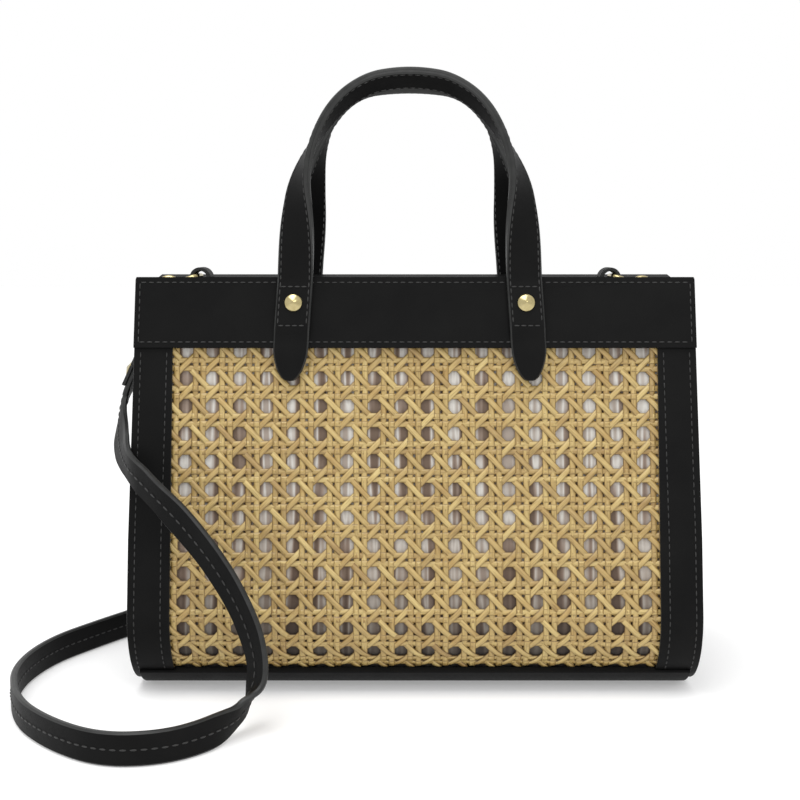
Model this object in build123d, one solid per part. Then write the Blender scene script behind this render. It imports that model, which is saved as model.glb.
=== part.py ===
from build123d import *
import math
import os

# A structured tote bag: cane front framed in leather, side gussets folded in at the mouth,
# two riveted top handles, and a flat shoulder strap held by snap clips on two rings.
# Millimetres. X runs across the bag, -Y is the front, +Z is up. The base rests on Z = 0.

# Body, measured over the outer leather of the front and back
body_width = 268.6
mouth_width = 264.0
taper_start = 75.0
mouth_height = 197.0
mouth_depth = 58.0
base_depth = 118.0
roll_radius = 34.0
corner_round = 3.0

# Layers of the wall, from the outside in
leather = 1.6
base_leather = 1.8
cane_thickness = 1.6
cloth = 0.6
facing = 1.4
edge_gap = 0.3

# Front frame and cane
band_height = 33.5
facing_height = 30.0
facing_width = 220.0
strip_width = 19.8
wall_end_angle = 80.0
base_edge_angle = 44.0
base_inset = 3.4
cane_pitch = 15.2
cane_columns = 15
cane_rows = 8
cane_hole = 8.0
strand_width = 4.4
strand_height = 0.7

# Side gussets
gusset_inset = 7.0
gusset_drop = 4.0
fold_start = 48.0
fold_flat = 22.0
fold_depth = {"left": 20.5, "right": 30.0}

# Handles
handle_spacing = 109.2
handle_shift = -2.5
handle_width = 15.5
handle_layer = 1.8
leg_top = 238.0
arch_half_width = 51.4
arch_rise = 52.3
handle_splay = 3.7
handle_lean = 5.6
handle_twist = 108.0
twist_power = 1.75
tab_length = 49.0
tab_taper_length = 14.0
tab_tip_width = 4.4
tab_lining_length = 25.0

# Studs
stud_drop = 12.8
stud_head = 8.4
stud_rim = 0.8
stud_rise = 2.4
stud_post = 3.0
stud_cap = 7.0
stud_cap_height = 1.4
post_seat = 0.8
post_gap = 0.1

# Rings and their leather loops
ring_wire = 2.6
ring_inner_width = 14.0
ring_reach = 14.8
ring_tilt = 18.0
ring_corner = 3.0
loop_width = 12.0
loop_rise = 3.5
loop_radius = 5.15
loop_leather = 1.8
loop_leg = 15.0
bar_shift = 1.7
bar_shift_angle = 28.0

# Snap clips
clip_tilt = 25.0
clip_body_length = 10.0
clip_body_width = 15.2
clip_body_depth = 7.6
clip_body_offset = -2.2
hook_wire = 3.2
hook_stem = 3.4
hook_bend = 5.2
hook_height = 17.0
nose_height = 14.4
bolt_diameter = 2.8
bolt_gap = 0.08
bolt_length = 8.2
bolt_travel = 4.2
bore_floor = 1.2
lug_width = 1.6
lug_reach = 4.6
lug_height = 1.8
lug_gap = 0.2
swivel_post = 3.0
swivel_head = 5.0
swivel_head_height = 2.2
swivel_gap = 0.05
swivel_wall = 2.0
eye_wire = 2.4
eye_inner_width = 16.5
eye_top = 1.8
eye_drop = 9.6
eye_corner = 2.4
link_gap = 0.3

# Shoulder strap
strap_width = 14.5
strap_thickness = 3.0
strap_end_leather = 1.5
strap_turn = 26.0
strap_stud_place = 18.0
strap_straight = 36.0
strap_setback = 3.6
fillet_share = 0.45


def polar(centre, radius, degrees):
    angle = math.radians(degrees)
    return (centre[0] + radius * math.cos(angle), centre[1] + radius * math.sin(angle))


# The front wall's section in Y and Z: a leaning straight, then a roll into the flat base
roll_centre = (roll_radius - base_depth / 2, base_leather + roll_radius)
mouth_point = (-mouth_depth / 2, mouth_height)
reach_to_roll = math.dist(mouth_point, roll_centre)
straight_length = math.sqrt(reach_to_roll**2 - roll_radius**2)
angle_to_roll = math.atan2(roll_centre[1] - mouth_point[1], roll_centre[0] - mouth_point[0])
down_angle = angle_to_roll - math.asin(roll_radius / reach_to_roll)
down = (math.cos(down_angle), math.sin(down_angle))
inward = (-down[1], down[0])
lean = math.degrees(math.asin(-down[0]))
roll_start = 180.0 - lean
roll_length = math.radians(270.0 - roll_start) * roll_radius
base_run = straight_length + roll_length
middle_run = base_run - roll_centre[0]
wall_depth = leather + cane_thickness
inner_depth = wall_depth + cloth
face_depth = inner_depth + facing


def run_at_angle(degrees_below_level):
    # Distance from the mouth to the point of the roll this far below the level
    turned = math.radians(180.0 + degrees_below_level - roll_start)
    return straight_length + turned * roll_radius


def wall_point(run, depth):
    # A point of the front wall: run down from the mouth, depth in from the outer face
    if run <= straight_length:
        return (
            mouth_point[0] + down[0] * run + inward[0] * depth,
            mouth_point[1] + down[1] * run + inward[1] * depth,
        )
    if run <= base_run:
        angle = roll_start + math.degrees((run - straight_length) / roll_radius)
        return polar(roll_centre, roll_radius - depth, angle)
    return (roll_centre[0] + run - base_run, base_leather + depth)


def wall_edges(start, end, depth, x):
    stops = [start] + [s for s in (straight_length, base_run) if start < s < end] + [end]
    edges = []
    for a, b in zip(stops, stops[1:]):
        points = [Vector(x, *wall_point(s, depth)) for s in (a, (a + b) / 2, b)]
        rolled = straight_length <= a < base_run
        edges.append(ThreePointArc(*points) if rolled else Line(points[0], points[2]))
    return edges


def wall(start, end, outer, inner, x0, x1):
    # A length of the front wall between two depths
    edges = wall_edges(start, end, outer, x0) + wall_edges(start, end, inner, x0)
    for s in (start, end):
        edges.append(Line(Vector(x0, *wall_point(s, outer)), Vector(x0, *wall_point(s, inner))))
    return extrude(make_face(edges), amount=x1 - x0, dir=(1, 0, 0))


def inside(depth, height):
    # Everything within the front and back walls at this depth, as wide as the bag
    x = -body_width / 2
    front = wall_edges(0, middle_run, depth, x)
    rear = [edge.mirror(Plane.XZ) for edge in front]
    top = Line(front[0] @ 0, rear[0] @ 0)
    body = extrude(make_face(front + rear + [top]), amount=body_width, dir=(1, 0, 0))
    return body & Pos(0, 0, height / 2) * Box(body_width + 1, base_depth + 10, height)


def envelope():
    # The bag seen from the front: straight sides that close in a little towards the mouth
    low, high = body_width / 2, mouth_width / 2
    top = mouth_height + leather
    outline = Polyline(
        (-low, -1), (low, -1), (low, taper_start), (high, top),
        (-high, top), (-low, taper_start), close=True,
    )
    face = make_face(outline)
    face = fillet(face.vertices().sort_by(Axis.Y)[-2:], corner_round)
    depth = base_depth + 20
    return Pos(0, depth / 2, 0) * Rot(90, 0, 0) * extrude(face, amount=depth)


def offset_chain(points, distance):
    # Moves an open chain of points to its left, with mitred corners
    normals = []
    for (x0, y0), (x1, y1) in zip(points, points[1:]):
        length = math.hypot(x1 - x0, y1 - y0)
        normals.append(((y0 - y1) / length, (x1 - x0) / length))
    moved = []
    for i, (x, y) in enumerate(points):
        a = normals[max(i - 1, 0)]
        b = normals[min(i, len(normals) - 1)]
        scale = distance / (1 + a[0] * b[0] + a[1] * b[1])
        moved.append((x + (a[0] + b[0]) * scale, y + (a[1] + b[1]) * scale))
    return moved


gusset_face = body_width / 2 - gusset_inset
gusset_top = mouth_height - gusset_drop


def fold_at(side, z):
    return fold_depth[side] * (z - fold_start) / (mouth_height - fold_start)


def side_block(side, depth):
    # The room beside the middle of the bag, out to the gusset's face less this depth
    sections = []
    for z in (fold_start, mouth_height):
        edge = mouth_depth / 2 + (mouth_height - z) * math.tan(math.radians(lean))
        x = gusset_face - fold_at(side, z)
        flat = fold_flat / 2
        chain = [(gusset_face, -edge), (x, -flat), (x, flat), (gusset_face, edge)]
        chain = offset_chain(chain, depth)
        chain += [(0, chain[-1][1]), (0, chain[0][1])]
        sections.append(make_face(Polyline(*[(px, py, z) for px, py in chain], close=True)))
    lower_width = gusset_face - depth
    lower = Pos(lower_width / 2, 0, fold_start / 2) * Box(lower_width, base_depth + 10, fold_start)
    block = lower + loft(sections, ruled=True)
    return block if side == "right" else block.mirror(Plane.YZ)


def turned(solid):
    # The back of the bag mirrors its front
    return solid.mirror(Plane.XZ)


def to_side(side, solid):
    return solid if side == "right" else solid.mirror(Plane.YZ)


def polygon_wire(points):
    return Wire.make_polygon([Vector(*p) for p in points], close=True)


# The sloping front face as a work plane: x across, y up the slope from the mouth, z outwards
front_plane = Plane(
    origin=(0, *mouth_point), x_dir=(1, 0, 0), z_dir=(0, -inward[0], -inward[1])
).location

half = body_width / 2
strip_inner = half - strip_width
double_half = strip_inner - edge_gap
cane_half = gusset_face - leather - edge_gap
wall_end = run_at_angle(wall_end_angle)
base_edge = run_at_angle(base_edge_angle)
stud_spots = [handle_shift + sign * handle_spacing / 2 for sign in (-1, 1)]
drill = Part() + [
    front_plane * Pos(x, -stud_drop, 0) * Cylinder(stud_post / 2 + post_gap, 24) for x in stud_spots
]
drills = drill + turned(drill)
shape = envelope()


def cane_panel():
    # Sheet with octagonal gaps, ridges between them, and a plain lower bend
    sheet_end = straight_length - edge_gap
    middle = (band_height + straight_length) / 2
    corner = cane_hole / 2 / math.cos(math.radians(22.5))
    gaps = []
    windows = []
    side = (cane_pitch - strand_width) / 2
    for column in range(cane_columns):
        for row in range(cane_rows):
            x = (column - (cane_columns - 1) / 2) * cane_pitch
            y = -middle + (row - (cane_rows - 1) / 2) * cane_pitch
            ring = [polar((x, y), corner, 22.5 + 45 * k) for k in range(8)]
            gaps.append(polygon_wire([(px, py, 0) for px, py in ring]))
            square = ((x - side, y - side), (x + side, y - side), (x + side, y + side), (x - side, y + side))
            windows.append(polygon_wire([(px, py, 0) for px, py in square]))

    def rectangle(x, y0, y1):
        return polygon_wire([(-x, y0, 0), (x, y0, 0), (x, y1, 0), (-x, y1, 0)])

    sheet = extrude(Face(rectangle(cane_half, -sheet_end, -leather), gaps), amount=cane_thickness)
    grid_y = (cane_rows * cane_pitch + strand_width) / 2
    ridges = Face(rectangle(double_half, -middle - grid_y, -band_height - edge_gap), windows)
    ridges = extrude(ridges, amount=strand_height)
    flat = Pos(0, 0, -wall_depth) * sheet + Pos(0, 0, -leather) * ridges
    bend = wall(sheet_end, wall_end, leather, wall_depth, -cane_half, cane_half)
    return front_plane * flat + bend - drill


def top_band(doubled):
    pieces = [
        wall(0, band_height, -leather, 0, -half, half),
        wall(0, leather, 0, face_depth, -half, half),
        wall(leather, facing_height, inner_depth, face_depth, -facing_width / 2, facing_width / 2),
    ]
    if doubled:
        pieces.append(wall(leather, band_height, 0, leather, -double_half, double_half))
    return (Part() + pieces) & shape


def gusset(side):
    outer = side_block(side, 0) - side_block(side, leather)
    lining_face = gusset_face - leather
    flange = Pos((half + lining_face) / 2, 0, 0) * Box(half - lining_face, 2 * half, 3 * half)
    flange &= inside(leather, gusset_top) - inside(wall_depth, gusset_top + 1)
    return (outer & inside(wall_depth, gusset_top)) + (to_side(side, flange) & shape)


def base_board():
    flat = -2 * roll_centre[0] - 2 * edge_gap
    wings = Box(2 * half - 2 * base_inset, flat, leather)
    wings = Pos(0, 0, base_leather + leather / 2) * wings
    core = Pos(0, 0, base_leather + leather + cane_thickness / 2) * Box(2 * cane_half, flat, cane_thickness)
    return wings + core


def base_panel():
    reach = half - base_inset
    front = wall(base_edge, middle_run, -base_leather, 0, -reach, reach)
    filler = wall(base_edge, wall_end, 0, leather - edge_gap, -double_half, double_half)
    return front + turned(front) + filler


def lining():
    top = gusset_top - edge_gap
    sides = side_block("left", leather) + side_block("right", leather)
    hollow = side_block("left", leather + cloth) + side_block("right", leather + cloth)
    return (inside(wall_depth, top) & sides) - (inside(inner_depth, top + 1) & hollow)


def unit(v):
    return Vector(*v).normalized()


def tab_station(run, width):
    # A cross-section of the handle where it lies on the front, at this distance from the mouth
    slope = math.radians(handle_splay)
    x = handle_spacing / 2 + (run - stud_drop) * math.tan(slope)
    centre = Vector(x, *wall_point(run, -leather - handle_layer))
    up = Vector(-math.sin(slope), -down[0] * math.cos(slope), -down[1] * math.cos(slope))
    out = Vector(0, -inward[0], -inward[1])
    return centre, out.cross(up) * -1, out, width


def arch_stations():
    # Cross-sections of the free part of the handle, from the mouth to the apex, turning as it rises
    x0, y0, z0 = tuple(tab_station(0, handle_width)[0])
    points = [Vector(x0, y0, z0)]
    for share in (0.25, 0.5, 0.75, 1.0):
        points.append(Vector(
            x0 + (arch_half_width - x0) * share, y0, z0 + (leg_top - z0) * share
        ))
    for degrees in (10, 20, 30, 40, 50, 60, 70, 80, 90):
        x, z = math.cos(math.radians(degrees)), math.sin(math.radians(degrees))
        points.append(Vector(arch_half_width * x, y0, leg_top + arch_rise * z))
    top = points[-1].Z
    points = [p - Vector(0, handle_lean * (p.Z - z0) / (top - z0), 0) for p in points]
    lengths = [0.0]
    for a, b in zip(points, points[1:]):
        lengths.append(lengths[-1] + (b - a).length)
    stations = []
    for i in range(1, len(points)):
        ahead = points[i + 1] if i + 1 < len(points) else Vector(-points[i - 1].X, points[i - 1].Y, points[i - 1].Z)
        along = unit(ahead - points[i - 1])
        forward = Vector(0, -1, 0)
        forward = unit(forward - along * forward.dot(along))
        middle = along.cross(forward)
        angle = math.radians(handle_twist) * (lengths[i] / lengths[-1]) ** twist_power
        across = middle * math.cos(angle) + forward * math.sin(angle)
        out = forward * math.cos(angle) - middle * math.sin(angle)
        stations.append((points[i], across, out, handle_width))
    return stations


def other_leg(station):
    # The same cross-section on the other leg, with its inner edge still towards the middle
    centre, across, out, width = station
    flip = Vector(-1, 1, 1)
    return tuple(Vector(v.X * flip.X, v.Y, v.Z) for v in (centre, across, out)) + (width,)


def handle_layer_solid(start, depths):
    tab = [(run, handle_width) for run in (tab_length - tab_taper_length, tab_lining_length, stud_drop, 0.0)]
    tab = [(tab_length, tab_tip_width)] + tab
    tab = [tab_station(run, width) for run, width in tab if run <= start]
    half_way = tab + arch_stations()
    stations = half_way + [other_leg(s) for s in reversed(half_way[:-1])]
    faces = []
    for centre, across, out, width in stations:
        corners = []
        for w, d in ((-1, 0), (1, 0), (1, 1), (-1, 1)):
            corners.append(centre + across * (w * width / 2) + out * depths[d])
        faces.append(make_face(Polyline(*corners, close=True)))
    return Pos(handle_shift, 0, 0) * loft(faces, ruled=True) - drill


def stud_shape(length):
    # A head that rises to a blunt point, and a post below it; the head sits on z = 0
    rim = Pos(0, 0, stud_rim / 2) * Cylinder(stud_head / 2, stud_rim)
    rise = stud_rise - stud_rim
    cone = Pos(0, 0, stud_rim + rise / 2) * Cone(stud_head / 2, 0.3, rise)
    post = Pos(0, 0, -length / 2) * Cylinder(stud_post / 2, length)
    return rim + cone + post


def stud_cap_shape():
    # A back disc with a seat for the post; its face that meets the wall is z = 0
    disc = Pos(0, 0, -stud_cap_height / 2) * Cylinder(stud_cap / 2, stud_cap_height)
    seat = Pos(0, 0, -post_seat / 2) * Cylinder(stud_post / 2 + post_gap, post_seat)
    return disc - seat


def ring_frame(side):
    # Where the leather loop and the ring sit: the gusset's top edge, and the bar inside the loop
    tilt = math.atan(fold_depth[side] / (mouth_height - fold_start))
    out = Vector(math.cos(tilt), 0, math.sin(tilt))
    up = Vector(-math.sin(tilt), 0, math.cos(tilt))
    edge = Vector(gusset_face - fold_at(side, gusset_top), 0, gusset_top)
    centre = edge - out * ((leather + cloth) / 2) + up * loop_rise
    shift = math.radians(bar_shift_angle)
    bar = centre + Vector(math.cos(shift), 0, math.sin(shift)) * bar_shift
    return edge, out, bar


def ring_tab(side):
    edge, out, bar = ring_frame(side)
    skin = leather + cloth
    middle = -skin / 2
    loop = Pos(middle, loop_rise) * Circle(loop_radius)
    leg_height = loop_leg + loop_rise
    legs = Pos(middle, loop_rise - leg_height / 2) * Rectangle(skin + 2 * loop_leather, leg_height)
    hole = Pos(middle, loop_rise) * Circle(loop_radius - loop_leather)
    slot = Pos(middle, -loop_leg) * Rectangle(skin, 2 * (loop_leg + 2 * edge_gap))
    sketch = loop + legs - hole - slot
    plane = Plane(origin=edge, x_dir=out, z_dir=(0, -1, 0)).location
    return plane * extrude(sketch, amount=loop_width / 2, both=True)


def wire_frame(points, corner, radius):
    path = FilletPolyline(*points, radius=corner, close=True)
    section = Plane(origin=path @ 0, z_dir=path % 0) * Circle(radius)
    return sweep(section, path)


def ring(side):
    bar = ring_frame(side)[2]
    tilt = math.radians(ring_tilt)
    side_y = (ring_inner_width + ring_wire) / 2
    corners = [(0, -side_y, 0), (ring_reach, -side_y, 0), (ring_reach, side_y, 0), (0, side_y, 0)]
    plane = Plane(
        origin=bar, x_dir=(math.cos(tilt), 0, -math.sin(tilt)), z_dir=(math.sin(tilt), 0, math.cos(tilt))
    ).location
    return plane * wire_frame(corners, ring_corner, ring_wire / 2)


hook_centre = (hook_stem - hook_bend, hook_height)
wire_seat = hook_bend - hook_wire / 2 - ring_wire / 2 - link_gap


def clip_plane(side):
    # The clip's own axes: z up its swivel axis, -x towards the nose and the bolt
    bar = ring_frame(side)[2]
    tilt = math.radians(ring_tilt)
    wire = bar + Vector(math.cos(tilt), 0, -math.sin(tilt)) * ring_reach
    angle = math.radians(clip_tilt)
    up = Vector(-math.sin(angle), 0, math.cos(angle))
    across = Vector(-math.cos(angle), 0, -math.sin(angle))
    origin = wire - up * (hook_centre[1] + wire_seat) - across * hook_centre[0]
    return Plane(origin=origin, x_dir=across, z_dir=up)


bolt_x = hook_stem - 2 * hook_bend
bolt_low = nose_height - edge_gap / 3 - bolt_length


def hook():
    outline = SlotOverall(clip_body_width, clip_body_depth)
    body = Pos(clip_body_offset, 0, 0) * extrude(outline, amount=clip_body_length)
    top = (hook_stem, 0, hook_height)
    arc = ThreePointArc(top, (hook_centre[0], 0, hook_height + hook_bend), (bolt_x, 0, hook_height))
    stem = Line((hook_stem, 0, clip_body_length - 3), top)
    nose = Line((bolt_x, 0, hook_height), (bolt_x, 0, nose_height))
    path = Wire([stem, arc, nose])
    bend = sweep(Plane(origin=path @ 0, z_dir=path % 0) * Circle(hook_wire / 2), path)
    bore_length = clip_body_length - bore_floor
    bore = Pos(bolt_x, 0, bore_floor + bore_length / 2) * Cylinder(bolt_diameter / 2 + bolt_gap, bore_length)
    slot_low = bolt_low - bolt_travel - lug_gap
    slot_high = bolt_low + lug_height + lug_gap
    slot = Box(lug_reach + 2, lug_width + 2 * lug_gap, slot_high - slot_low)
    slot = Pos(bolt_x - lug_reach / 2 - 1, 0, (slot_low + slot_high) / 2) * slot
    hole = Cylinder(swivel_post / 2 + swivel_gap, 2 * swivel_wall)
    room_height = swivel_head_height + 2 * link_gap
    room = Pos(0, 0, swivel_wall + room_height / 2) * Cylinder(swivel_head / 2 + swivel_gap, room_height)
    return body + bend - bore - slot - hole - room


def bolt():
    pin = Pos(bolt_x, 0, bolt_low + bolt_length / 2) * Cylinder(bolt_diameter / 2, bolt_length)
    lug = Pos(bolt_x - lug_reach / 2, 0, bolt_low + lug_height / 2) * Box(lug_reach, lug_width, lug_height)
    return pin + lug


def eye():
    head_low = swivel_wall + link_gap
    head = Pos(0, 0, head_low + swivel_head_height / 2) * Cylinder(swivel_head / 2, swivel_head_height)
    post_length = head_low + 1 + eye_top
    post = Pos(0, 0, head_low + 1 - post_length / 2) * Cylinder(swivel_post / 2, post_length)
    side_y = (eye_inner_width + eye_wire) / 2
    corners = [(0, -side_y, -eye_drop), (0, -side_y, -eye_top), (0, side_y, -eye_top), (0, side_y, -eye_drop)]
    return head + post + wire_frame(corners, eye_corner, eye_wire / 2)


def strap_end():
    # A leather turn round the eye's bar, open below for the strap
    inner = strap_thickness / 2
    outer = inner + strap_end_leather
    sketch = Circle(outer) + Pos(0, -strap_turn / 2) * Rectangle(2 * outer, strap_turn)
    sketch -= Circle(inner) + Pos(0, -strap_turn / 2) * Rectangle(2 * inner, strap_turn + 1)
    plane = Plane(origin=(0, 0, -eye_drop), x_dir=(1, 0, 0), z_dir=(0, -1, 0)).location
    solid = plane * extrude(sketch, amount=strap_width / 2, both=True)
    return solid - strap_drill


strap_stud_at = Pos(0, 0, -eye_drop - strap_stud_place) * Rot(0, -90, 0)
strap_drill = strap_stud_at * Cylinder(stud_post / 2 + post_gap, 12)
strap_stack = strap_thickness / 2 + strap_end_leather

# The strap's path: its corner points, and the way its width points at each of them


def strap_point(side, along):
    point = clip_plane(side).from_local_coords(Vector(0, 0, -eye_drop - along))
    return Vector(point.X if side == "right" else -point.X, point.Y, point.Z)


floor_height = strap_width / 2 + edge_gap
strap_points = [
    (strap_point("left", strap_setback), (0, -1, 0)),
    (strap_point("left", strap_straight), (0, -1, 0)),
    (Vector(-148, -16, 121), (0.3, -0.85, 0.35)),
    (Vector(-139.5, -46, 111), (0.5, -0.65, 0.55)),
    (Vector(-125, -64, 103), (0.7, -0.45, 0.6)),
    (Vector(-106, -73, 90), (0.8, -0.42, 0.42)),
    (Vector(-88, -80, 70), (0.82, -0.5, 0.33)),
    (Vector(-74, -85, 46), (0.8, -0.6, 0.2)),
    (Vector(-68, -90, 23), (0.62, -0.75, 0.15)),
    (Vector(-76, -99, 9.0), (0.1, -0.6, 0.8)),
    (Vector(-86, -117, floor_height), (0, 0.1, 1)),
    (Vector(-104, -132, floor_height), (0, 0, 1)),
    (Vector(-130, -134, floor_height), (0, 0, 1)),
    (Vector(-157, -115, floor_height), (0, 0, 1)),
    (Vector(-178, -89, floor_height), (0, 0, 1)),
    (Vector(-191, -50, floor_height), (0, 0, 1)),
    (Vector(-186, -10, floor_height), (0, 0, 1)),
    (Vector(-167, 22, floor_height), (0, 0, 1)),
    (Vector(-151, 46, floor_height), (0, 0, 1)),
    (Vector(-138, 70, floor_height), (0, 0, 1)),
    (Vector(-112, 88, floor_height), (0, 0, 1)),
    (Vector(-72, 93, floor_height), (0, 0, 1)),
    (Vector(-10, 88, floor_height), (0, 0, 1)),
    (Vector(50, 93, floor_height), (0, 0, 1)),
    (Vector(95, 90, floor_height + 2), (0, 0, 1)),
    (Vector(129, 80, 24), (0, 0.25, 1)),
    (Vector(144, 61, 50), (0, 0.6, 0.8)),
    (Vector(145, 38, 82), (0, 0.85, 0.5)),
    (Vector(141.5, 10, 117), (0, 1, 0.15)),
    (strap_point("right", strap_straight), (0, 1, 0)),
    (strap_point("right", strap_setback), (0, 1, 0)),
]


def strap_stations():
    # Straight runs joined by tangent arcs; returns the cross-sections, the length and the radii
    points = [p for p, w in strap_points]
    widths = [unit(w) for p, w in strap_points]
    stations = [(points[0], unit(points[1] - points[0]), widths[0])]
    length = 0.0
    radii = []
    last = points[0]
    for i in range(1, len(points) - 1):
        before, after = points[i] - points[i - 1], points[i + 1] - points[i]
        a, b = before.normalized(), after.normalized()
        turn = math.acos(max(-1.0, min(1.0, a.dot(b))))
        reach = fillet_share * min(before.length, after.length)
        radius = reach / math.tan(turn / 2)
        radii.append(radius)
        start = points[i] - a * reach
        normal = (b - a * a.dot(b)).normalized()
        centre = start + normal * radius
        length += (start - last).length + radius * turn
        last = points[i] + b * reach
        steps = max(2, math.ceil(math.degrees(turn) / 14))
        for k in range(steps + 1):
            angle = turn * k / steps
            place = centre - normal * (radius * math.cos(angle)) + a * (radius * math.sin(angle))
            along = a * math.cos(angle) + normal * math.sin(angle)
            stations.append((place, along, (i, k / steps)))
    stations.append((points[-1], unit(points[-1] - points[-2]), widths[-1]))
    length += (points[-1] - last).length
    blended = []
    for place, along, way in stations:
        if isinstance(way, tuple):
            i, share = way
            before, after = widths[i - 1], widths[i + 1]
            lean_back = before * (0.5 - share) * 2 if share < 0.5 else after * (share - 0.5) * 2
            weight = 1 - abs(share - 0.5)
            way = widths[i] * weight * 2 + lean_back * 0.9
        way = unit(way - along * way.dot(along))
        blended.append((place, along, way))
    return blended, length, radii


def strap():
    stations, length, radii = strap_stations()
    faces = []
    for place, along, way in stations:
        normal = along.cross(way)
        corners = []
        for w, n in ((-1, -1), (1, -1), (1, 1), (-1, 1)):
            corners.append(place + way * (w * strap_width / 2) + normal * (n * strap_thickness / 2))
        faces.append(make_face(Polyline(*corners, close=True)))
    solid = loft(faces, ruled=True)
    print("strap length", round(length, 1), "volume", round(solid.volume))
    print("strap section times length", round(length * strap_width * strap_thickness))
    print("strap radii", [round(r, 1) for r in radii])
    for side in ("left", "right"):
        solid -= to_side(side, clip_plane(side).location * strap_drill)
    return solid


parts = {}


def add(name, solid):
    if isinstance(solid, ShapeList):
        solid = Part() + list(solid)
    print(name, round(solid.volume, 1), "solids", len(solid.solids()), "sound", solid.is_valid)
    parts[name] = solid


print("front and back")
add("front_cane_panel", cane_panel())
right_strip = wall(leather, wall_end, 0, leather, strip_inner, half) & shape
add("front_right_strip", right_strip)
add("front_left_strip", right_strip.mirror(Plane.YZ))
add("front_top_band", top_band(True) - drill)
add("back_panel", turned(wall(leather, wall_end, 0, leather, -half, half) & shape) - drills)
add("back_board", turned(wall(leather, wall_end, leather, wall_depth, -cane_half, cane_half)) - drills)
add("back_top_band", turned(top_band(False)) - drills)

print("base, sides and lining")
add("base_panel", base_panel())
add("base_board", base_board())
add("left_gusset", gusset("left"))
add("right_gusset", gusset("right"))
add("lining", lining() - drills)

print("handles")
outer_layer = handle_layer_solid(tab_length, (0, handle_layer))
inner_layer = handle_layer_solid(tab_lining_length, (-handle_layer, 0))
add("front_handle", outer_layer)
add("front_handle_lining", inner_layer)
add("back_handle", turned(outer_layer))
add("back_handle_lining", turned(inner_layer))

print("studs")
stack = face_depth + leather + 2 * handle_layer
head_at = leather + 2 * handle_layer
for x, name in zip(stud_spots, ("left", "right")):
    spot = front_plane * Pos(x, -stud_drop, 0)
    head = spot * Pos(0, 0, head_at) * stud_shape(stack + post_seat)
    cap = spot * Pos(0, 0, -face_depth) * stud_cap_shape()
    add(f"front_{name}_stud", head)
    add(f"front_{name}_stud_back", cap)
    add(f"back_{name}_stud", turned(head))
    add(f"back_{name}_stud_back", turned(cap))

print("rings, clips and strap")
for side in ("left", "right"):
    clip = clip_plane(side).location
    add(f"{side}_ring_tab", to_side(side, ring_tab(side)))
    add(f"{side}_ring", to_side(side, ring(side)))
    add(f"{side}_hook", to_side(side, clip * hook()))
    add(f"{side}_bolt", to_side(side, clip * bolt()))
    add(f"{side}_eye", to_side(side, clip * eye()))
    add(f"{side}_strap_end", to_side(side, clip * strap_end()))
    stud_place = clip * strap_stud_at
    head = stud_place * Pos(0, 0, strap_stack) * stud_shape(2 * strap_stack + post_seat)
    cap = stud_place * Pos(0, 0, -strap_stack) * stud_cap_shape()
    add(f"{side}_strap_stud", to_side(side, head))
    add(f"{side}_strap_stud_back", to_side(side, cap))
add("shoulder_strap", strap())

os.makedirs("parts", exist_ok=True)
for node, solid in parts.items():
    export_step(solid, f"parts/{node}.step")
print(len(parts), "parts written")
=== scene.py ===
import bpy, bmesh, math, random
from mathutils import Matrix, Vector, noise


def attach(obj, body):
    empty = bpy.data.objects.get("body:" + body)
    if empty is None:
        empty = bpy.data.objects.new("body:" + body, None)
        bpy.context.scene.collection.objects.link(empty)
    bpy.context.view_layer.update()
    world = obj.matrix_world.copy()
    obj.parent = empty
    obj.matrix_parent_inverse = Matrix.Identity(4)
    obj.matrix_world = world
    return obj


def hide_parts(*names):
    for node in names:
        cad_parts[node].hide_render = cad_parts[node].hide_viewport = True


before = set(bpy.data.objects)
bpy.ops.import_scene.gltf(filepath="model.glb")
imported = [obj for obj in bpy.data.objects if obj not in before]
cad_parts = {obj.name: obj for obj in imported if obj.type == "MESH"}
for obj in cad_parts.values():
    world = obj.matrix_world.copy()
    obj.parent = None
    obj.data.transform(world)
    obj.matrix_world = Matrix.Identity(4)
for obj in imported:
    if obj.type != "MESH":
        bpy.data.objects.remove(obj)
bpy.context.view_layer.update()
random.seed(7)
noise.seed_set(7)  # noise vectors start from the clock without this

print("camera")
camera = {"place": (-0.0024, -0.619, 0.211), "down": 7.0, "lens": 55.8, "sensor": 36.0, "shift": -0.0125,
          "near": 0.02}
camData = bpy.data.cameras.new("camera")
camData.lens = camera["lens"]
camData.sensor_width = camera["sensor"]
camData.shift_x = camera["shift"]
camData.clip_start = camera["near"]
cam = bpy.data.objects.new("camera", camData)
cam.location = camera["place"]
cam.rotation_euler = (math.radians(90 - camera["down"]), 0, 0)
bpy.context.scene.collection.objects.link(cam)
bpy.context.scene.camera = cam


def makePiece(name, bm, materials, body="bag", sharp=40):
    # a finished piece from a bmesh, on the body that it rides on
    bmesh.ops.recalc_face_normals(bm, faces=bm.faces)
    mesh = bpy.data.meshes.new(name)
    bm.to_mesh(mesh)
    bm.free()
    for m in materials:
        mesh.materials.append(m)
    mesh.shade_smooth()
    mesh.set_sharp_from_angle(angle=math.radians(sharp))
    piece = bpy.data.objects.new(name, mesh)
    bpy.context.scene.collection.objects.link(piece)
    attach(piece, body)
    return piece


def smoothPath(points, steps=12):
    # points read from the NURBS spline that has the given control points
    data = bpy.data.curves.new("path", "CURVE")
    data.dimensions = "3D"
    data.resolution_u = steps
    spline = data.splines.new("NURBS")
    spline.points.add(len(points) - 1)
    for p, c in zip(spline.points, points):
        p.co = (*c, 1)
    spline.order_u = 3
    spline.use_endpoint_u = True
    holder = bpy.data.objects.new("path", data)
    mesh = bpy.data.meshes.new_from_object(holder)
    found = [v.co.copy() for v in mesh.vertices]
    bpy.data.objects.remove(holder)
    bpy.data.curves.remove(data)
    bpy.data.meshes.remove(mesh)
    return found


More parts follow.
